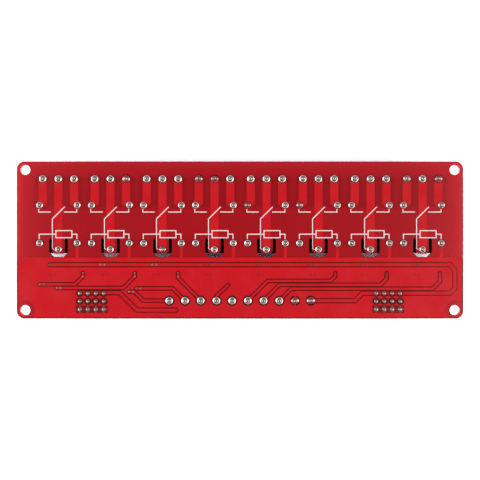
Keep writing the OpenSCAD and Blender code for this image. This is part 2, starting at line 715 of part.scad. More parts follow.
chip_l = 2;
chip_w = 1.25;
chip_end = 0.4;
module led_bodies() color([0.95, 0.9, 0.6]) mounted(led_at) {
    translate([-chip_l / 2 + chip_end, -chip_w / 2, -0.4]) cube([chip_l - 2 * chip_end, chip_w, 0.4]);
    translate([0, 0, -0.4]) mirror([0, 0, 1]) intersection() {
        translate([-chip_l / 2 + chip_end, -chip_w / 2, 0]) cube([chip_l - 2 * chip_end, chip_w, 1]);
        translate([0, 0, -0.35]) sphere(0.9);
    }
}
module resistor_bodies() color([0.12, 0.12, 0.14]) for (p = resistor_at) mounted(p)
    translate([-chip_l / 2 + chip_end, -chip_w / 2, -0.55]) cube([chip_l - 2 * chip_end, chip_w, 0.55]);
module chip_ends() color([0.8, 0.8, 0.8]) {
    for (p = resistor_at) mounted(p) chip_end_pair(0.55);
    mounted(led_at) chip_end_pair(0.4);
}
module chip_end_pair(h)
    for (s = [-1, 1]) translate([s * (chip_l - chip_end) / 2, 0, -h / 2])
        cube([chip_end, chip_w, h], center = true);

// ---- Nodes ----

pcb();
pads();
contact_strips();
signal_tracks();
ground_pour();
vias();
printed_symbols();
solder_outputs();
solder_inputs();
solder_relays();
solder_headers();
relay_pins();
output_clamps();
output_screws();
output_legs();
input_housing();
input_clamps();
input_screws();
input_legs();
header_base(-1);  // header_base_left
header_base(1);  // header_base_right
header_pin_set();
jumper_caps(-1);  // jumper_caps_left
jumper_caps(1);  // jumper_caps_right
opto_bodies();
opto_leads();
diode_bodies();
diode_tabs();
transistor_bodies();
transistor_leads();
led_bodies();
resistor_bodies();
chip_ends();
for (i = [1:channels]) {
    relay_case(i);
    relay_base(i);
    output_housing(i);
}
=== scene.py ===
"""Relay module board: finishes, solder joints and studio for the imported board.

Everything is in metres in the board's own frame: the solder side is the plane z = 0 and faces
+Z, the parts hang below, and the board lies on its relay tops.
"""
import json
import math

import bpy
import numpy as np
from bpy.props import FloatProperty, FloatVectorProperty, IntProperty, PointerProperty
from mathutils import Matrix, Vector


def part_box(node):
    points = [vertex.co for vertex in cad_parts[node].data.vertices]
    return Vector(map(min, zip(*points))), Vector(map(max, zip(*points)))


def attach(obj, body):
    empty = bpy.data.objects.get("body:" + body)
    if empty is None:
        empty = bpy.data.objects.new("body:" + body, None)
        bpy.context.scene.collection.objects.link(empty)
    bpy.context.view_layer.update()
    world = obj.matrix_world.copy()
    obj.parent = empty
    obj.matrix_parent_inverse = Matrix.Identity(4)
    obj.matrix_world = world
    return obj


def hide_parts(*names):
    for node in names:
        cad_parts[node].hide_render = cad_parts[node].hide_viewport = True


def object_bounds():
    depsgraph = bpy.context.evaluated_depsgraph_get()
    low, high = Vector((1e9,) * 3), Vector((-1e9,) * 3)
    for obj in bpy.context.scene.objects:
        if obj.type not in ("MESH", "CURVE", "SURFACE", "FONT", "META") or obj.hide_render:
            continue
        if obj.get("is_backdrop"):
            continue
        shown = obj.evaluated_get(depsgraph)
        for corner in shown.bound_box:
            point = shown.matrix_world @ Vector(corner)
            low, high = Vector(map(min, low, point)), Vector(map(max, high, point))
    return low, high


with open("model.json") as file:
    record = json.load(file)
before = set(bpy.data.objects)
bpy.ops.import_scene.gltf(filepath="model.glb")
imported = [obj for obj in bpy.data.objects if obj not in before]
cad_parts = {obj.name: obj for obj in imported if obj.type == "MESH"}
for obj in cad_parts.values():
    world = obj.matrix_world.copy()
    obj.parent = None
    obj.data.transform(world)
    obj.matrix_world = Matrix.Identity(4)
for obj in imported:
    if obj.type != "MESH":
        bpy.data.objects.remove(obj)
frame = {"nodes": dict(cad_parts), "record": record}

bl_info = {
    "name": "Relay Module Board",
    "version": (1, 0, 0),
    "blender": (4, 5, 0),
    "location": "View3D > Sidebar > Relay Board",
    "description": "Finishes and solder joints for a relay module board",
    "category": "Object",
}

MM = 0.001
CHANNELS = sum(name.startswith("relay_case_") for name in frame["nodes"])
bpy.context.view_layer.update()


# ---------------------------------------------------------------- sizes and colours


def linear(r, g, b):
    """Linear colour of an 8-bit screen colour."""
    return tuple(
        c / 255 / 12.92 if c <= 10 else ((c / 255 + 0.055) / 1.055) ** 2.4 for c in (r, g, b)
    )


def colour(name, about, r, g, b):
    """Colour property whose default is given on the 8-bit screen scale."""
    return FloatVectorProperty(
        name=name, description=about, subtype="COLOR", size=3, min=0, max=1, default=linear(r, g, b)
    )


def length(name, about, mm):
    """Length property whose default is given in millimetres."""
    return FloatProperty(
        name=name, description=about, unit="LENGTH", precision=5, default=mm * MM, min=0
    )


def share(name, about, value, top=1.0):
    """Plain number from 0 to top."""
    return FloatProperty(name=name, description=about, default=value, min=0, max=top)


class BoardFinish(bpy.types.PropertyGroup):
    mask: colour("Mask on laminate", "Solder mask where no copper lies under it", 165, 8, 20)
    # Painted shade: the narrow gaps of the pour are coloured darker than the bare mask elsewhere.
    mask_gap_shade: colour("Mask in gaps", "Bare mask in the narrow gaps of the pour", 92, 0, 6)
    mask_copper: colour("Mask on copper", "Solder mask over the foil", 203, 21, 32)
    laminate: colour("Laminate", "Sawn edge of the glass laminate", 196, 176, 124)
    # Painted shade: the slots' walls are coloured much darker than the cut laminate.
    routed: colour("Routed laminate", "Walls of the slots", 70, 44, 26)
    # Painted light: the mounting holes' walls are coloured much paler than the cut laminate.
    hole_wall_light: colour("Drilled laminate", "Walls of the mounting holes", 236, 226, 214)
    # Painted shade: the mask round the input joints is coloured near black.
    mask_input_shade: colour("Mask by inputs", "Bare mask round the row of input joints", 30, 3, 8)
    ink: colour("Ink", "Printed symbols", 240, 230, 230)
    pad_flux: colour("Pads", "Tinned pads under flux residue", 150, 32, 36)
    pad_clean: colour("Clean pads", "Tinned pads of the header pins", 166, 106, 104)
    via: colour("Vias", "Plugs of mask in the vias", 142, 18, 25)
    via_crust: colour("Via crust", "Pale crust on the routed vias", 148, 118, 100)
    weave: length("Weave", "Pitch of the glass cloth under the mask", 0.55)
    gloss: share("Gloss", "Roughness of the mask", 0.34)


class SolderFinish(bpy.types.PropertyGroup):
    metal: colour("Metal", "Colour of bright solder", 214, 214, 208)
    # Thin oxide, and painted shade on the collars and the pins' ends.
    oxide_and_shade: colour("Oxide", "Thin oxide on the pins' ends and their collars", 192, 184, 179)
    # Flux residue and a painted reflection of the red board, on poor joints.
    flux: colour("Flux", "Residue left on dull joints", 132, 26, 30)
    crust: colour("Crust", "Pale patches in the residue", 150, 108, 98)
    rim: length("Rim", "Height of the rounded edge at the pad", 0.10)
    skirt: share("Skirt", "Slope of the skirt at its foot", 0.40)
    hollow: share("Hollow", "How much steeper the skirt gets towards the pin", 2.6, 5)
    dome: length("Dome", "Height of the solder over a pin's end", 0.25)
    wobble: share("Wobble", "Unevenness from joint to joint", 0.07)
    spokes: IntProperty(name="Spokes", description="Faces round a joint", default=26, min=8)


class MetalFinish(bpy.types.PropertyGroup):
    pin: colour("Pins", "Tinned pins of relays and terminals", 205, 203, 198)
    gold: colour("Header pins", "Gold flash on the header pins", 214, 184, 116)
    nickel: colour("Clamps", "Nickel-plated clamps", 196, 193, 186)
    zinc: colour("Screws", "Zinc-plated screws", 208, 210, 212)
    lead: colour("Leads", "Tinned leads of the small parts", 203, 201, 196)


class PlasticFinish(bpy.types.PropertyGroup):
    relay: colour("Relay case", "Moulded relay cases", 24, 80, 164)
    # Dark red-brown: the plates' and resin's own dark colour, with painted shade and painted red
    # light from the laminate.
    relay_base: colour("Relay base", "Base plates and sealing resin", 44, 15, 18)
    dust: colour("Dust", "Pale dust on mouldings", 214, 208, 200)
    terminal: colour("Terminal", "Screw terminal housings", 24, 104, 168)
    black: colour("Black parts", "Headers, caps and moulded chips", 22, 22, 24)
    opto: colour("Optocoupler", "Pale moulded bodies", 224, 221, 208)
    ceramic: colour("Resistors", "Glazed resistor bodies", 26, 27, 30)
    lamp: colour("Indicators", "Resin of the light-emitting diodes", 238, 226, 150)


class Studio(bpy.types.PropertyGroup):
    distance: FloatProperty(
        name="Camera height", description="Camera above the solder side", unit="LENGTH",
        default=0.30, min=0.1,
    )
    field: length("Field", "Width in view at the solder side", 152.7)
    side_power: FloatProperty(
        name="Side lamps", description="Power of each side lamp", unit="POWER", default=2.65, min=0
    )
    ambient: share("Ambient", "Strength of the room's light near the horizon", 0.62, 4)
    below: share("Below", "Strength of the light from under the paper", 0.75, 4)


# ---------------------------------------------------------------- meshes and places


def new_piece(name, points, faces, finish, replaces, layers):
    """Smooth mesh object from arrays of points and faces, riding on the board in place of the
    nodes that it replaces. layers maps an attribute's name to one number a point."""
    mesh = bpy.data.meshes.new(name)
    points = np.asarray(points, dtype=np.float64).reshape(-1, 3)
    mesh.from_pydata(points.tolist(), [], faces)
    for key, values in layers.items():
        layer = mesh.attributes.new(key, "FLOAT", "POINT")
        layer.data.foreach_set("value", np.asarray(values, dtype=np.float32).ravel())
    mesh.polygons.foreach_set("use_smooth", [True] * len(mesh.polygons))
    mesh.materials.append(finish)
    mesh.validate()
    mesh.update()
    piece = bpy.data.objects.new(name, mesh)
    bpy.context.scene.collection.objects.link(piece)
    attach(piece, "root")
    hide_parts(*replaces)


def node_points(node):
    """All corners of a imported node, one row each."""
    mesh = frame["nodes"][node].data
    flat = np.empty(len(mesh.vertices) * 3, dtype=np.float32)
    mesh.vertices.foreach_get("co", flat)
    return flat.reshape(-1, 3).astype(np.float64)


def runs(values, gap):
    """Splits sorted numbers wherever the step is wider than gap."""
    order = np.sort(values)
    return np.split(order, np.flatnonzero(np.diff(order) > gap) + 1)


def spots(node, gap=0.5 * MM):
    """Centre and radius of each of a node's separate round pieces: columns of points that a gap
    divides along X, and in each column the groups that a gap divides along Y."""
    points = node_points(node)
    found = []
    for column in runs(points[:, 0], gap):
        inside = (points[:, 0] >= column[0] - 1e-9) & (points[:, 0] <= column[-1] + 1e-9)
        for row in runs(points[inside, 1], gap):
            found.append(
                ((column[0] + column[-1]) / 2, (row[0] + row[-1]) / 2, (row[-1] - row[0]) / 2)
            )
    return np.array(found)


def disc_faces(rings, spokes, copies):
    """Faces of polar grids whose last ring closes on one middle point, for several copies."""
    ring, spoke = np.meshgrid(np.arange(rings - 1), np.arange(spokes), indexing="ij")
    after = (spoke + 1) % spokes
    quads = np.stack(
        [ring * spokes + spoke, ring * spokes + after,
         (ring + 1) * spokes + after, (ring + 1) * spokes + spoke], axis=-1
    ).reshape(-1, 4)
    turn = np.arange(spokes)
    fan = np.stack([(rings - 1) * spokes + turn, (rings - 1) * spokes + (turn + 1) % spokes,
                    np.full(spokes, rings * spokes)], axis=-1)
    size = rings * spokes + 1
    shift = (np.arange(copies) * size)[:, None, None]
    sides = (quads[None] + shift).reshape(-1, 4)
    middles = (fan[None] + shift).reshape(-1, 3)
    return sides.tolist() + middles.tolist()


# ---------------------------------------------------------------- finishes


class Finish:
    """A node material under construction. Patterns read Object coordinates in millimetres."""

    def __init__(self, name, roughness=0.4, metallic=0.0, **shader):
        self.material = bpy.data.materials.new(name)
        self.material.use_nodes = True
        self.tree = self.material.node_tree
        self.tree.nodes.clear()
        out = self.tree.nodes.new("ShaderNodeOutputMaterial")
        self.shader = self.tree.nodes.new("ShaderNodeBsdfPrincipled")
        self.tree.links.new(self.shader.outputs[0], out.inputs[0])
        self.set(self.shader, {"Roughness": roughness, "Metallic": metallic, **shader})
        place = self.tree.nodes.new("ShaderNodeTexCoord").outputs["Object"]
        self.mm = self.node("VectorMath", {0: place, 3: 1000.0}, operation="SCALE").outputs[0]
        self.relief = None

    def set(self, node, values):
        for key, value in values.items():
            socket = node.inputs[key]
            if isinstance(value, bpy.types.NodeSocket):
                self.tree.links.new(value, socket)
            elif socket.type == "RGBA" and len(value) == 3:
                socket.default_value = (*value, 1)
            else:
                socket.default_value = value

    def node(self, kind, values=None, **options):
        node = self.tree.nodes.new("ShaderNode" + kind)
        for key, value in options.items():
            setattr(node, key, value)
        self.set(node, values or {})
        return node

    def math(self, operation, a, b=0.0, c=0.0):
        return self.node("Math", {0: a, 1: b, 2: c}, operation=operation).outputs[0]

    def stretch(self, x, y, z):
        """The place in millimetres, scaled apart along each axis."""
        return self.node("VectorMath", {0: self.mm, 1: (x, y, z)}, operation="MULTIPLY").outputs[0]

    def axes(self, source=None):
        return self.node("SeparateXYZ", {0: source or self.mm}).outputs

    def noise(self, size, detail=2.0, rough=0.5, place=None, warp=0.0):
        """Noise whose features are about size millimetres across."""
        values = {"Vector": place or self.mm, "Scale": 1 / size, "Detail": detail,
                  "Roughness": rough, "Distortion": warp}
        return self.node("TexNoise", values).outputs["Fac"]

    def ramp(self, value, low, high, to_low=0.0, to_high=1.0):
        """Smooth step of a value from low to high."""
        values = {"Value": value, "From Min": low, "From Max": high, "To Min": to_low,
                  "To Max": to_high}
        return self.node("MapRange", values, interpolation_type="SMOOTHSTEP").outputs[0]

    def mix(self, factor, a, b, blend="MIX"):
        node = self.node("Mix", {}, data_type="RGBA", blend_type=blend)
        self.set(node, {0: factor, 6: a, 7: b})
        return node.outputs[2]

    def shade(self, base, value, amount):
        """A colour made lighter and darker by amount as value runs from 0 to 1."""
        return self.scaled(base, self.math("MULTIPLY_ADD", value, 2 * amount, 1 - amount))

    def darker(self, base, value, amount):
        """A colour that loses amount of its light where value is 1."""
        return self.scaled(base, self.math("MULTIPLY_ADD", value, -amount, 1.0))

    def scaled(self, base, level):
        """A colour times a number."""
        grey = self.node("CombineColor", {0: level, 1: level, 2: level}).outputs[0]
        return self.mix(1.0, base, grey, "MULTIPLY")

    def bump(self, height, depth):
        """Adds relief: height runs 0 to 1 over depth millimetres."""
        values = {"Height": height, "Distance": depth * MM, "Strength": 1.0}
        if self.relief is not None:
            values["Normal"] = self.relief
        self.relief = self.node("Bump", values).outputs[0]
        self.set(self.shader, {"Normal": self.relief})

    def colour(self, value):
        """Sets the base colour."""
        self.set(self.shader, {"Base Color": value})

    def rough(self, value, low, high):
        """Roughness from low to high as a noise runs over its usual range."""
        self.set(self.shader, {"Roughness": self.ramp(value, 0.2, 0.8, low, high)})


# Lengths of the mask's pattern in millimetres. A pair is where a smooth step starts and ends.
WAY_PITCH = 5.0  # between the ways of a terminal, and so between the contact strips
STRIP_HALF = 1.325  # half the width of a contact strip
FOIL_SIDE = (-0.9, -0.6)  # heights between the component side and the solder side
EDGE_SHADE = (0.42, 0.2)  # painted shade, from the board's edges
POUR_MARGIN = (0.8, 0.6)  # strip without foil, from the board's edges
POUR_STEP = (0.7, 0.1)  # painted shade above the pour's upper edge
BARE_RING = 3.3  # radius without foil round a mounting hole
HOLE_WALLS = 2.2  # radius within which a cut wall is a mounting hole's
SKIN = (0.10, 0.13)  # depth of the rounded faces beside a cut wall
INPUT_ROW = (1.9, 1.6)  # painted shade in the mask, from the row of input joints
INPUT_END = 1.7  # how far that painted shade goes past the last input joint
VIA_ROW = 10.95  # the row of free vias lies this far below the middle
CLEAN_PADS = 2.0  # pads are clean up to this far above the lowest header joint
RESIN_AND_SHADE = 0.7  # depth of the sealing resin and painted shade at a relay case's rim


def cloth_relief(finish, pitch):
    """Plain weave: the product of two sine waves whose crests are one pitch apart."""
    x, y, _ = finish.axes()
    waves = [finish.math("SINE", finish.math("MULTIPLY", a, math.pi / pitch)) for a in (x, y)]
    return finish.math("MULTIPLY_ADD", finish.math("MULTIPLY", *waves), 0.5, 0.5)


def inset(f, size):
    """Distances in millimetres from the board's ends and from its long edges."""
    x, y, _ = f.axes()
    return [f.math("SUBTRACT", half / MM, f.math("ABSOLUTE", a)) for a, half in zip((x, y), size)]


def edge_glow(f, size):
    """Painted glow: light that enters the laminate at its edges, as two fading exponentials of the
    distance.
    """
    ends, sides = inset(f, size)
    glow = 0.0
    for place, level, reach in ((ends, 0.17, 1.2), (ends, 0.13, 7), (sides, 0.10, 1.2),
                                (sides, 0.06, 4)):
        fade = f.math("EXPONENT", f.math("DIVIDE", place, -reach))
        glow = f.math("MULTIPLY_ADD", fade, level, glow)
    return glow


def strip_shade(f, pitch, middle, low, high):
    """How much painted shade a place gets beside the contact strips: 1 beside one, 0 a few
    millimetres away. They stand at the middle and a terminal's pitch to either side of it, once in
    each channel."""
    x, y, _ = f.axes()
    across = f.math("ABSOLUTE", f.math("WRAP", f.math("SUBTRACT", x, middle), pitch / 2,
                                       -pitch / 2))
    outer = f.math("ABSOLUTE", f.math("SUBTRACT", across, WAY_PITCH))
    far = f.math("SUBTRACT", f.math("MINIMUM", across, outer), STRIP_HALF)
    beside = f.ramp(far, 2.6, 0.4)
    end = CHANNELS / 2 * pitch
    in_rows = f.ramp(f.math("ABSOLUTE", x), end + 0.4, end - 0.4)
    between = f.math("MULTIPLY", f.ramp(y, low - 1.5, low), f.ramp(y, high + 1.2, high))
    return f.math("MULTIPLY", f.math("MULTIPLY", beside, in_rows), between)


def hole_rings(f, size, inset_mm, reach):
    """1 in a ring of bare laminate round each mounting hole, 0 beyond reach millimetres."""
    ends, sides = inset(f, size)
    steps = [f.math("SUBTRACT", a, inset_mm) for a in (ends, sides)]
    squares = [f.math("MULTIPLY", a, a) for a in steps]
    return f.ramp(f.math("SQRT", f.math("ADD", *squares)), reach + 0.15, reach)


def input_shade_zone(f):
    """Where the mask round the input joints gets painted shade: 1 along the row of input joints and
    a little way round it, 0 elsewhere.
    """
    x, y, _ = f.axes()
    seats = spots("solder_inputs") / MM
    along = f.math("ABSOLUTE", f.math("SUBTRACT", y, seats[:, 1].mean()))
    end = seats[:, 0].max() + INPUT_END
    return f.math("MULTIPLY", f.ramp(f.math("ABSOLUTE", x), end + 0.2, end),
                  f.ramp(along, *INPUT_ROW))


def mask_on_laminate(look, pour_top, size, pitch, contacts, hole_inset):
    """Red mask on bare laminate: painted shade in the pour's gaps, beside copper and along the
    board's edges, a painted glow towards the edges, the glass cloth faint under it, and the cut
    laminate on the board's edges and in its holes, with painted shade on the slots' walls and
    painted light on the mounting holes' walls."""
    f = Finish("mask_on_laminate", look.gloss, **{"Specular IOR Level": 0.4})
    _, y, z = f.axes()
    foil_side = f.ramp(z, *FOIL_SIDE)
    top, thick = pour_top / MM, size[2] / MM
    pour = f.math("MULTIPLY", foil_side, f.ramp(y, top + 0.05, top - 0.25))
    ends, sides = inset(f, size)
    nearest = f.math("MINIMUM", ends, sides)
    # Painted shade in a thin band along the board's edges, strongest over the pour.
    edge_shade = f.ramp(nearest, *EDGE_SHADE)
    border = f.ramp(nearest, *POUR_MARGIN)
    ring = hole_rings(f, size, hole_inset, BARE_RING)
    gaps = f.math("SUBTRACT", 1.0, f.math("MAXIMUM", border, ring))
    # Painted shade in the gaps, near black by the input joints.
    gap_shade = f.mix(input_shade_zone(f), tuple(look.mask_gap_shade), tuple(look.mask_input_shade))
    # In the pour, away from its margin and the hole rings, the mask shows the gaps' painted shade.
    base = f.mix(f.math("MULTIPLY", pour, gaps), tuple(look.mask), gap_shade)
    foiled = f.math("MULTIPLY", pour, border)
    base = f.mix(f.math("MULTIPLY", foiled, f.math("SUBTRACT", 1.0, edge_shade)), base,
                 tuple(look.mask_copper))
    base = f.shade(base, f.noise(17, 2, 0.45), 0.07)
    above = f.ramp(f.math("SUBTRACT", y, top), *POUR_STEP)
    step = f.math("MULTIPLY", above, f.math("SUBTRACT", 1.0, pour))
    # Painted shade on the solder side: beside the contact strips, above the pour's upper edge,
    # along the board's edges and in the bare rings round the mounting holes.
    shade = strip_shade(f, pitch, *contacts)
    for other in (f.math("MULTIPLY", step, 0.7),
                  f.math("MULTIPLY", edge_shade, f.math("MULTIPLY_ADD", pour, 1.9, 0.7)),
                  f.math("MULTIPLY", f.math("MULTIPLY", ring, pour), 0.7)):
        shade = f.math("MAXIMUM", shade, other)
    base = f.darker(base, f.math("MULTIPLY", shade, foil_side), 0.25)
    base = f.shade(base, cloth_relief(f, look.weave / MM), 0.025)
    base = f.shade(base, f.noise(0.5, 2, 0.6), 0.05)
    dim = f.math("MAXIMUM", f.math("MULTIPLY", edge_shade, 0.6), foiled)
    # Painted glow, red, added to the mask, with less of it on foil and in the edge shade.
    glow = f.math("MULTIPLY", edge_glow(f, size), f.math("SUBTRACT", 1.0, dim))
    base = f.mix(1.0, base, f.mix(glow, (0.0, 0.0, 0.0), (1.0, 0.05, 0.08)), "ADD")
    edge = f.math("MULTIPLY", f.ramp(z, -SKIN[0], -SKIN[1]),
                  f.ramp(z, SKIN[0] - thick, SKIN[1] - thick))
    fibres = f.noise(0.35, 3, 0.6, f.stretch(0.4, 0.4, 6.0))
    # The cut walls take painted shade in the slots and painted light in the mounting holes.
    wall_light_and_shade = f.mix(hole_rings(f, size, hole_inset, HOLE_WALLS), tuple(look.routed),
                 tuple(look.hole_wall_light))
    cut = f.shade(f.mix(f.ramp(nearest, 0.9, 1.0), tuple(look.laminate), wall_light_and_shade), fibres, 0.16)
    f.colour(f.mix(edge, base, cut))
    f.set(f.shader, {"Roughness": f.math("MULTIPLY_ADD", edge, 0.4, look.gloss)})
    f.bump(cloth_relief(f, look.weave / MM), 0.006)
    f.bump(f.noise(1.1, 2, 0.5), 0.02)
    return f.material


def mask_on_copper(look):
    """Brighter, glossier mask over foil, with the foil's faint drawn grain and small specks."""
    f = Finish("mask_on_copper", look.gloss - 0.04, **{"Specular IOR Level": 0.4})
    base = f.shade(tuple(look.mask_copper), f.noise(14, 2, 0.45), 0.06)
    base = f.shade(base, f.noise(0.7, 3, 0.6, f.stretch(1.0, 0.12, 1)), 0.05)
    base = f.shade(base, f.noise(0.4, 2, 0.6), 0.04)
    f.colour(base)
    f.rough(f.noise(6, 2), look.gloss - 0.07, look.gloss + 0.05)
    f.bump(f.noise(0.9, 2, 0.5), 0.014)
    return f.material


def printed_ink(look):
    """Screen-printed ink: slightly uneven white that lets a little red through thin places."""
    f = Finish("printed_ink", 0.6)
    thin = f.ramp(f.noise(0.35, 3, 0.6), 0.56, 0.78, 0, 0.22)
    f.colour(f.mix(thin, tuple(look.ink), tuple(look.mask)))
    f.bump(f.noise(0.12, 2), 0.01)
    return f.material


def bright_solder(look):
    """Bright solder: soft waves and fine frost in the metal, a darker metal of thin oxide and
    painted shade where the joint's layer of oxide and shade says so, and red-brown with pale
    patches where
    its dull layer does: flux residue and a painted reflection of the red board."""
    f = Finish("bright_solder", 0.2, 1.0)
    dull = f.node("Attribute", {}, attribute_name="dull").outputs["Fac"]
    oxide_and_shade = f.node("Attribute", {}, attribute_name="oxide_and_shade").outputs["Fac"]
    ragged = f.math("MULTIPLY_ADD", f.noise(0.32, 3, 0.6), 1.5, -0.75)
    uneven = f.math("MULTIPLY", f.ramp(dull, 0.05, 0.3), ragged)
    # Red-brown on poor joints above and below a metal band: flux residue and a painted reflection
    # of the red board.
    residue_and_reflection = f.ramp(f.math("ADD", dull, uneven), 0.35, 0.75)
    # Darker metal where the layer of oxide and shade rises: thin oxide and painted shade.
    base = f.mix(oxide_and_shade, tuple(look.metal), tuple(look.oxide_and_shade))
    base = f.shade(base, f.noise(0.25, 3, 0.6), 0.06)
    crust = f.mix(f.ramp(f.noise(0.24, 3, 0.6), 0.48, 0.7), tuple(look.flux), tuple(look.crust))
    f.colour(f.mix(residue_and_reflection, base, crust))
    rough = f.math("MULTIPLY_ADD", residue_and_reflection, 0.15, f.ramp(f.noise(0.4, 2), 0.3, 0.7, 0.20, 0.30))
    f.set(f.shader, {"Roughness": rough, "Metallic": f.math("SUBTRACT", 1.0, residue_and_reflection)})
    f.bump(f.noise(0.45, 3, 0.55, warp=0.6), 0.03)
    f.bump(f.math("MULTIPLY", f.noise(0.34, 2, 0.5), f.ramp(dull, 0.05, 0.5)), 0.09)
    f.bump(f.noise(0.09, 2, 0.6), 0.004)
    return f.material


def metal(name, base, roughness, grain, size=0.3, stretch=(1, 1, 1)):
    """Plated metal: drawn or tumbled grain in its colour, roughness and relief."""
    f = Finish(name, roughness, 1.0)
    lines = f.noise(size, 3, 0.6, f.stretch(*stretch))
    f.colour(f.shade(tuple(base), lines, grain))
    f.rough(lines, roughness * 0.75, roughness * 1.35)
    f.bump(f.noise(size * 0.6, 2, 0.6, f.stretch(*stretch)), 0.006)
    return f.material


def tinned_pad(look, clean_below):
    """Tinned copper under flux residue: dark red, cleaner on the pads below a level."""
    f = Finish("tinned_pad", 0.34, 1.0)
    _, y, _ = f.axes()
    clean = f.ramp(y, clean_below + 0.1, clean_below - 0.1)
    base = f.mix(clean, tuple(look.pad_flux), tuple(look.pad_clean))
    f.colour(f.shade(base, f.noise(0.4, 3, 0.6), 0.14))
    f.bump(f.noise(0.3, 2, 0.6), 0.006)
    return f.material


def tented_via(look):
    """Plugs of mask in the vias: dark red dimples, and a pale crust on the routed ones towards
    the left end."""
    f = Finish("tented_via", 0.45)
    x, y, _ = f.axes()
    routed = f.ramp(f.math("ABSOLUTE", f.math("ADD", y, VIA_ROW)), 0.35, 0.55)
    pale = f.math("MULTIPLY", f.ramp(x, -15, -21), f.ramp(f.noise(5, 2, 0.6), 0.34, 0.46))
    pale = f.math("MULTIPLY", pale, routed)
    base = f.mix(pale, tuple(look.via), tuple(look.via_crust))
    f.colour(f.shade(base, f.noise(0.15, 2), 0.2))
    f.bump(f.noise(0.2, 2), 0.02)
    return f.material


def moulded(name, look, base, roughness, texture, size=0.14, dust=0.0, shine=0.5, resin_and_shade_above=None):
    """Moulded plastic: faint flow marks, spark-eroded texture, and a little pale dust. Above a
    given level, next to the board, it turns dark: sealing resin and painted shade."""
    f = Finish(name, roughness, **{"Specular IOR Level": shine})
    flow = f.noise(7, 3, 0.5, f.stretch(1, 1, 0.35), warp=0.4)
    tone = f.shade(tuple(base), flow, 0.05)
    tone = f.shade(tone, f.noise(0.3, 2), 0.03)
    if dust:
        specks = f.ramp(f.noise(0.22, 3, 0.7), 0.66, 0.74, 0, dust)
        tone = f.mix(specks, tone, tuple(look.dust))
    if resin_and_shade_above is not None:
        # Sealing resin and painted shade: the case is dark next to the board.
        uneven = f.math("MULTIPLY_ADD", f.noise(1.6, 2), 0.3, f.axes()[2])
        tone = f.mix(f.ramp(uneven, resin_and_shade_above, resin_and_shade_above + 0.2), tone, tuple(look.relay_base))
    f.colour(tone)
    f.rough(f.noise(2.5, 3), roughness * 0.85, roughness * 1.2)
    f.bump(f.noise(size, 2, 0.6), texture)
    return f.material


def dress(nodes, material):
    """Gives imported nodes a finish."""
    for node in nodes:
        slots = frame["nodes"][node].data.materials
        slots.clear()
        slots.append(material)


def numbered(stem):
    """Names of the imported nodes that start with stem."""
    return [name for name in sorted(frame["nodes"]) if name.startswith(stem)]


# ---------------------------------------------------------------- solder joints


HOLLOW_POWER = 2.9  # how sharply the skirt steepens towards the pin
COLLAR_POWER = 1.25  # how the collar climbs the pin's side
COLLAR = 1.15  # radius of the collar's foot, in pin radii
DOME = 1.04  # radius of the dome, in pin radii
TIP = 0.26 * MM  # height of a joint above the plain one that it replaces
SWELL_TOP = 0.4 * MM  # height up to which a joint's unevenness grows
SEED = 7

# Piece, imported node, pin radius in millimetres, foot as a share of the pad, least oxide and
# painted shade, crown, and the poor joints: their numbers along X, row by row from the top, and
# how poor each is
JOINTS = (
    ("output_joints", "solder_outputs", 0.50, 0.875, 0.15, 1.0,
     {5: 0.8, 9: 1.0, 10: 1.0, 21: 0.7, 23: 0.9}),
    ("input_joints", "solder_inputs", 0.50, 0.96, 0.0, 1.0, {8: 0.9, 9: 0.9}),
    ("relay_joints", "solder_relays", 0.46, 0.89, 0.5, 1.0,
     {3: 0.5, 8: 1.0, 10: 0.9, 15: 0.6, 34: 0.8}),
    ("header_joints", "solder_headers", 0.46, 0.80, 0.8, 1.7, {}),
)


def joint_height(r, foot, stem, tip, crown, look):
    """Height of a joint above its pad at radius r: a quarter-round rim, a hollow skirt whose
    slope grows as a power of the way to the pin, a steep collar up the pin's side, and an
    elliptic dome over the pin's end, crown times as high as on the large joints."""
    rim, power = look.rim, HOLLOW_POWER + 1
    along = np.clip((foot - r) / rim, 0, 1)
    edge = rim * np.sqrt(np.clip(1 - (1 - along) ** 2, 0, 1))
    run = foot - rim / 2 - stem * COLLAR
    way = np.clip((foot - rim / 2 - r) / run, 0, 1)
    skirt = run * (look.skirt * way + look.hollow * way ** power / power)
    climb = np.clip((stem * COLLAR - r) / (stem * (COLLAR - 1)), 0, 1)
    collar = (tip - rim - run * (look.skirt + look.hollow / power)) * climb ** COLLAR_POWER
    dome = crown * look.dome * np.sqrt(np.clip(1 - (r / (stem * DOME)) ** 2, 0, 1))
    return edge + skirt + collar + dome * (r < stem * DOME)


def joint_rings(foot, stem, rim):
    """Radii of a joint's rings from its foot to its middle, close at the rim and round the pin."""
    skirt = np.linspace(foot - rim, stem * COLLAR, 8)
    inner = stem * np.array([1.08, 1.0, 0.95, 0.84, 0.66, 0.42])
    return np.concatenate([[foot, foot - rim * 0.15, foot - rim * 0.5], skirt, inner])


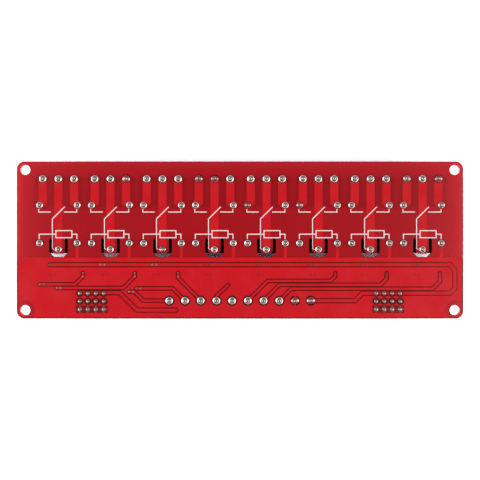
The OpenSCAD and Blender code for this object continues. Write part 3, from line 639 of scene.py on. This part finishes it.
def joints(name, node, stem, foot, aged, crown, marks, look, finish):
    """Solder on every pin of a node, as polar grids over radius and angle.

    Each joint's height is joint_height on rings that foot makes a share of the pad's size,
    swelled by three slow waves of the angle whose size and phase are drawn from a fixed seed.
    marks maps a joint's number to how poor it is, from 0 to 1: a poor joint is flattened and
    keeps its metal along a band across X, with red-brown above and below: flux residue and a
    painted reflection of the red board. aged is the least weight of oxide and painted shade
    anywhere on a joint.
    """
    seats = spots(node)
    low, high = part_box(node)
    order = np.lexsort((seats[:, 0], -np.round(seats[:, 1] / MM)))
    seats = seats[order]
    count = len(seats)
    draw = np.random.default_rng(SEED + count)
    size = (seats[:, 2] * foot)[:, None, None]
    radius = np.array([joint_rings(s, stem, look.rim) for s in size[:, 0, 0]])[:, :, None]
    angle = (np.arange(look.spokes) / look.spokes * 2 * np.pi)[None, None, :]
    poor = np.zeros(count)
    for key, value in marks.items():
        poor[key] = value
    poor = poor[:, None, None]
    swell = 1.0
    for waves in (1, 2, 3):
        amount = draw.normal(0, look.wobble / waves, (count, 1, 1)) * (1 + 2 * poor)
        phase = draw.uniform(0, 2 * np.pi, (count, 1, 1))
        swell = swell + amount * np.sin(waves * angle + phase)
    reach = radius * (1 + 0.25 * (swell - 1) * np.clip(radius / size, 0, 1) ** 2)
    tip = high[2] - low[2] + TIP
    height = joint_height(radius, size, stem, tip, crown, look)
    swollen = np.minimum(height, SWELL_TOP) * (swell - 1) * (radius > stem) + height
    z = low[2] + swollen * (1 - 0.35 * poor * (radius > stem * 1.05))
    z[:, 0, :] = low[2] + 0.001 * MM
    x = seats[:, 0][:, None, None] + reach * np.cos(angle)
    y = seats[:, 1][:, None, None] + reach * np.sin(angle)
    # Poor joints keep metal along a band across X and turn red-brown above and below it: flux
    # residue and a painted reflection of the red board.
    band = np.clip(np.abs(reach * np.sin(angle)) / size * 2.0, 0, 1)
    dull = np.broadcast_to(poor * (0.3 + 0.7 * band), z.shape)
    # Darker metal on the collar and the pin's end, at least aged everywhere: thin oxide and painted
    # shade.
    oxide_and_collar_shade = np.broadcast_to(np.maximum(aged, np.clip((stem * 1.9 - radius) / (stem * 0.5), 0, 1)),
                           z.shape)
    grid = np.stack(np.broadcast_arrays(x, y, z), axis=-1).reshape(count, -1, 3)
    middle = np.stack([seats[:, 0], seats[:, 1], z[:, -1, :].mean(axis=1)], axis=-1)[:, None, :]
    points = np.concatenate([grid, middle], axis=1)
    shade = np.concatenate([dull.reshape(count, -1), poor[:, :, 0] * 0.3], axis=1)
    oxide_and_shade = np.concatenate([oxide_and_collar_shade.reshape(count, -1), np.ones((count, 1))], axis=1)
    faces = disc_faces(radius.shape[1], look.spokes, count)
    new_piece(name, points, faces, finish, (node,), {"dull": shade, "oxide_and_shade": oxide_and_shade})


# ---------------------------------------------------------------- operators


class RELAYBOARD_OT_board(bpy.types.Operator):
    """Finish the board, its foil under the mask, its pads, vias and printed symbols"""

    bl_idname = "relayboard.board"
    bl_label = "Board and foil"

    def execute(self, context):
        look = context.scene.relay_board
        low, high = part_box("pcb")
        size = (high[0], high[1], high[2] - low[2])
        outputs, contacts = spots("solder_outputs"), spots("solder_relays")
        first, last = outputs[:, 0].min() / MM, outputs[:, 0].max() / MM
        rows = (first + WAY_PITCH, contacts[:, 1].max() / MM, outputs[:, 1].mean() / MM)
        pitch = (last - first - 2 * WAY_PITCH) / (CHANNELS - 1)
        hole = frame["record"]["mounts"][0]["dims"]["spacing_x_mm"] / 2
        dress(["pcb"], mask_on_laminate(look, pour_edge("ground_pour"), size, pitch, rows,
                                        size[0] / MM - hole))
        dress(["contact_strips", "signal_tracks", "ground_pour"], mask_on_copper(look))
        dress(["printed_symbols"], printed_ink(look))
        clean_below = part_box("solder_headers")[0][1] / MM + CLEAN_PADS
        dress(["pads"], tinned_pad(look, clean_below))
        dress(["vias"], tented_via(look))
        return {"FINISHED"}


def pour_edge(node):
    """Level of the pour's upper edge, read in a narrow band at each of its two ends."""
    points = node_points(node)
    band = 1.3 * MM
    low, high = points[:, 0].min() + band, points[:, 0].max() - band
    outer = points[(points[:, 0] < low) | (points[:, 0] > high)]
    return float(outer[:, 1].max())


class RELAYBOARD_OT_solder(bpy.types.Operator):
    """Build a solder joint on every pin"""

    bl_idname = "relayboard.solder"
    bl_label = "Solder joints"

    def execute(self, context):
        look = context.scene.relay_solder
        finish = bright_solder(look)
        for name, node, stem, *rest in JOINTS:
            joints(name, node, stem * MM, *rest, look, finish)
        return {"FINISHED"}


class RELAYBOARD_OT_pins(bpy.types.Operator):
    """Finish the pins, leads, clamps and screws"""

    bl_idname = "relayboard.pins"
    bl_label = "Pins and metal parts"

    def execute(self, context):
        look = context.scene.relay_metals
        dress(["relay_pins", "output_legs", "input_legs"],
              metal("tinned_pin", look.pin, 0.28, 0.08))
        dress(["header_pin_set"], metal("gold_flash", look.gold, 0.25, 0.06))
        dress(["output_clamps", "input_clamps"],
              metal("nickel_clamp", look.nickel, 0.32, 0.1, 0.4, (1, 0.15, 1)))
        dress(["output_screws", "input_screws"], metal("zinc_screw", look.zinc, 0.3, 0.1))
        dress(["opto_leads", "diode_tabs", "transistor_leads", "chip_ends"],
              metal("tinned_lead", look.lead, 0.35, 0.08))
        return {"FINISHED"}


class RELAYBOARD_OT_relays(bpy.types.Operator):
    """Finish the relay cases and their base plates"""

    bl_idname = "relayboard.relays"
    bl_label = "Relays"

    def execute(self, context):
        look = context.scene.relay_plastics
        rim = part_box("relay_case_1")[1][2] / MM
        dress(numbered("relay_case_"),
              moulded("relay_plastic", look, look.relay, 0.32, 0.010, dust=0.05,
                      resin_and_shade_above=rim - RESIN_AND_SHADE))
        # Base plates: dark, with painted shade and painted red light from the laminate.
        dress(numbered("relay_base_"),
              moulded("relay_base_plastic", look, look.relay_base, 0.55, 0.02, shine=0.1))
        return {"FINISHED"}


class RELAYBOARD_OT_terminals(bpy.types.Operator):
    """Finish the screw terminal housings"""

    bl_idname = "relayboard.terminals"
    bl_label = "Screw terminals"

    def execute(self, context):
        look = context.scene.relay_plastics
        plastic = moulded("terminal_plastic", look, look.terminal, 0.4, 0.014, dust=0.05)
        dress(numbered("output_housing_") + ["input_housing"], plastic)
        return {"FINISHED"}


class RELAYBOARD_OT_jumpers(bpy.types.Operator):
    """Finish the jumper blocks and their caps"""

    bl_idname = "relayboard.jumpers"
    bl_label = "Jumper blocks"

    def execute(self, context):
        look = context.scene.relay_plastics
        dress(["header_base_left", "header_base_right"],
              moulded("header_plastic", look, look.black, 0.5, 0.016))
        dress(["jumper_caps_left", "jumper_caps_right"],
              moulded("cap_plastic", look, look.black, 0.36, 0.01, dust=0.04))
        return {"FINISHED"}


class RELAYBOARD_OT_small_parts(bpy.types.Operator):
    """Finish the surface-mounted parts"""

    bl_idname = "relayboard.small_parts"
    bl_label = "Surface-mounted parts"

    def execute(self, context):
        look = context.scene.relay_plastics
        dress(["opto_bodies"], moulded("opto_plastic", look, look.opto, 0.55, 0.02, 0.1))
        dress(["diode_bodies", "transistor_bodies"],
              moulded("chip_plastic", look, look.black, 0.55, 0.02, 0.1))
        dress(["resistor_bodies"],
              moulded("chip_ceramic", look, look.ceramic, 0.3, 0.01, 0.2))
        dress(["led_bodies"], moulded("led_resin", look, look.lamp, 0.2, 0.006, 0.3))
        return {"FINISHED"}


class RELAYBOARD_OT_stage(bpy.types.Operator):
    """Set the floor, lamps, room light and camera"""

    bl_idname = "relayboard.stage"
    bl_label = "Studio"

    def execute(self, context):
        look = context.scene.relay_studio
        scene = context.scene
        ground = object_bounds()[0][2] + FLOOR_LIFT
        mesh = bpy.data.meshes.new("floor")
        corners = [(x * FLOOR_REACH, y * FLOOR_REACH, ground)
                   for x, y in ((-1, -1), (1, -1), (1, 1), (-1, 1))]
        mesh.from_pydata(corners, [], [(0, 1, 2, 3)])
        mesh.materials.append(floor_finish())
        floor = bpy.data.objects.new("floor", mesh)
        scene.collection.objects.link(floor)
        floor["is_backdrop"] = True

        scene.world = scene.world or bpy.data.worlds.new("room")
        room_light(scene.world, look)
        for name, place, part in LAMPS:
            lamp(name, place, LAMP_SIZE, look.side_power * part)

        data = bpy.data.cameras.new("camera")
        data.sensor_width = SENSOR
        data.lens = SENSOR * look.distance / look.field
        data.clip_start, data.clip_end = 0.01, 20
        camera = bpy.data.objects.new("camera", data)
        camera.location = (0, 0, look.distance)
        scene.collection.objects.link(camera)
        scene.camera = camera
        scene.view_settings.view_transform = "Standard"
        return {"FINISHED"}


FLOOR_LIFT = 0.02 * MM  # the paper is this far above the relay tops, which show through from below
FLOOR_REACH = 3.0
LAMP_SIZE = (0.62, 0.38)
LAMPS = (("left_lamp", (-0.50, 0.03, 0.38), 1.0), ("right_lamp", (0.46, -0.08, 0.46), 0.93))
SENSOR = 36
PAPER, PAPER_SEEN = (0.80, 0.80, 0.78, 1), (0.92, 0.91, 0.88, 1)
ROOM = (0.98, 0.98, 0.98, 1)


def fade(tree, source, low, high, at_low, at_high):
    """Linear step of a value from low to high."""
    node = tree.nodes.new("ShaderNodeMapRange")
    tree.links.new(source, node.inputs["Value"])
    ends = {"From Min": low, "From Max": high, "To Min": at_low, "To Max": at_high}
    for key, value in ends.items():
        node.inputs[key].default_value = value
    return node.outputs[0]


def pair(tree, operation, a, b):
    """Result of a sum on two linked values."""
    node = tree.nodes.new("ShaderNodeMath")
    node.operation = operation
    tree.links.new(a, node.inputs[0])
    tree.links.new(b, node.inputs[1])
    return node.outputs[0]


def room_light(world, look):
    """White behind everything that the camera sees. For light, a soft glow from the sides that
    is weak overhead and at the horizon, and a plain one from under the paper."""
    world.use_nodes = True
    tree = world.node_tree
    nodes, links = tree.nodes, tree.links
    nodes.clear()
    split = nodes.new("ShaderNodeSeparateXYZ")
    links.new(nodes.new("ShaderNodeTexCoord").outputs["Generated"], split.inputs[0])
    up = split.outputs["Z"]
    sides = pair(tree, "MULTIPLY", fade(tree, up, 0.10, 0.30, 0.2, 1.0),
                 fade(tree, up, 0.62, 0.88, look.ambient, look.ambient * 0.07))
    strength = pair(tree, "MAXIMUM", sides, fade(tree, up, -0.06, -0.02, look.below, 0.0))
    lit = nodes.new("ShaderNodeBackground")
    lit.inputs[0].default_value = ROOM
    links.new(strength, lit.inputs[1])
    seen = nodes.new("ShaderNodeBackground")
    seen.inputs[0].default_value = (1, 1, 1, 1)
    seen.inputs[1].default_value = 1.0
    either = nodes.new("ShaderNodeMixShader")
    links.new(nodes.new("ShaderNodeLightPath").outputs["Is Camera Ray"], either.inputs[0])
    links.new(lit.outputs[0], either.inputs[1])
    links.new(seen.outputs[0], either.inputs[2])
    links.new(either.outputs[0], nodes.new("ShaderNodeOutputWorld").inputs[0])


def lamp(name, place, size, power):
    """Rectangular lamp turned towards the middle of the board."""
    data = bpy.data.lights.new(name, "AREA")
    data.shape = "RECTANGLE"
    data.size, data.size_y = size
    data.energy = power
    piece = bpy.data.objects.new(name, data)
    piece.location = place
    piece.rotation_euler = (-Vector(place)).to_track_quat("-Z", "Y").to_euler()
    bpy.context.scene.collection.objects.link(piece)


def floor_finish():
    """Matt white paper that shows fully white where the lamps reach it and keeps its shadows.
    From below it is clear, so that the component side can be looked at."""
    material = bpy.data.materials.new("studio_paper")
    material.use_nodes = True
    tree = material.node_tree
    nodes, links = tree.nodes, tree.links
    nodes.clear()
    out = nodes.new("ShaderNodeOutputMaterial")
    plain = nodes.new("ShaderNodeBsdfDiffuse")
    lifted = nodes.new("ShaderNodeBsdfDiffuse")
    both = nodes.new("ShaderNodeAddShader")
    pick = nodes.new("ShaderNodeMixShader")
    path = nodes.new("ShaderNodeLightPath").outputs
    plain.inputs[0].default_value = PAPER
    lifted.inputs[0].default_value = PAPER_SEEN
    links.new(plain.outputs[0], both.inputs[0])
    links.new(lifted.outputs[0], both.inputs[1])
    links.new(pair(tree, "MAXIMUM", path["Is Camera Ray"], path["Is Glossy Ray"]), pick.inputs[0])
    links.new(plain.outputs[0], pick.inputs[1])
    links.new(both.outputs[0], pick.inputs[2])
    under = nodes.new("ShaderNodeMixShader")
    links.new(nodes.new("ShaderNodeNewGeometry").outputs["Backfacing"], under.inputs[0])
    links.new(pick.outputs[0], under.inputs[1])
    links.new(nodes.new("ShaderNodeBsdfTransparent").outputs[0], under.inputs[2])
    links.new(under.outputs[0], out.inputs[0])
    return material


STEPS = (
    RELAYBOARD_OT_board,
    RELAYBOARD_OT_solder,
    RELAYBOARD_OT_pins,
    RELAYBOARD_OT_relays,
    RELAYBOARD_OT_terminals,
    RELAYBOARD_OT_jumpers,
    RELAYBOARD_OT_small_parts,
    RELAYBOARD_OT_stage,
)
LOOKS = {
    "relay_board": BoardFinish,
    "relay_solder": SolderFinish,
    "relay_metals": MetalFinish,
    "relay_plastics": PlasticFinish,
    "relay_studio": Studio,
}


class RELAYBOARD_PT_panel(bpy.types.Panel):
    """Steps that dress the relay board, and their sizes and colours"""

    bl_idname = "RELAYBOARD_PT_panel"
    bl_label = "Relay Module Board"
    bl_space_type = "VIEW_3D"
    bl_region_type = "UI"
    bl_category = "Relay Board"

    def draw(self, context):
        layout = self.layout
        for step in STEPS:
            layout.operator(step.bl_idname)
        for key, group in LOOKS.items():
            box = layout.box()
            box.label(text=key.replace("_", " ").capitalize())
            for name in group.__annotations__:
                box.prop(getattr(context.scene, key), name)


def register():
    for group in LOOKS.values():
        bpy.utils.register_class(group)
    for step in (*STEPS, RELAYBOARD_PT_panel):
        bpy.utils.register_class(step)
    for key, group in LOOKS.items():
        setattr(bpy.types.Scene, key, PointerProperty(type=group))


def unregister():
    for key in LOOKS:
        delattr(bpy.types.Scene, key)
    for step in (*STEPS, RELAYBOARD_PT_panel):
        bpy.utils.unregister_class(step)
    for group in LOOKS.values():
        bpy.utils.unregister_class(group)


def main():
    register()
    for step in STEPS:
        area, name = step.bl_idname.split(".")
        getattr(getattr(bpy.ops, area), name)()


if __name__ == "__main__":
    main()
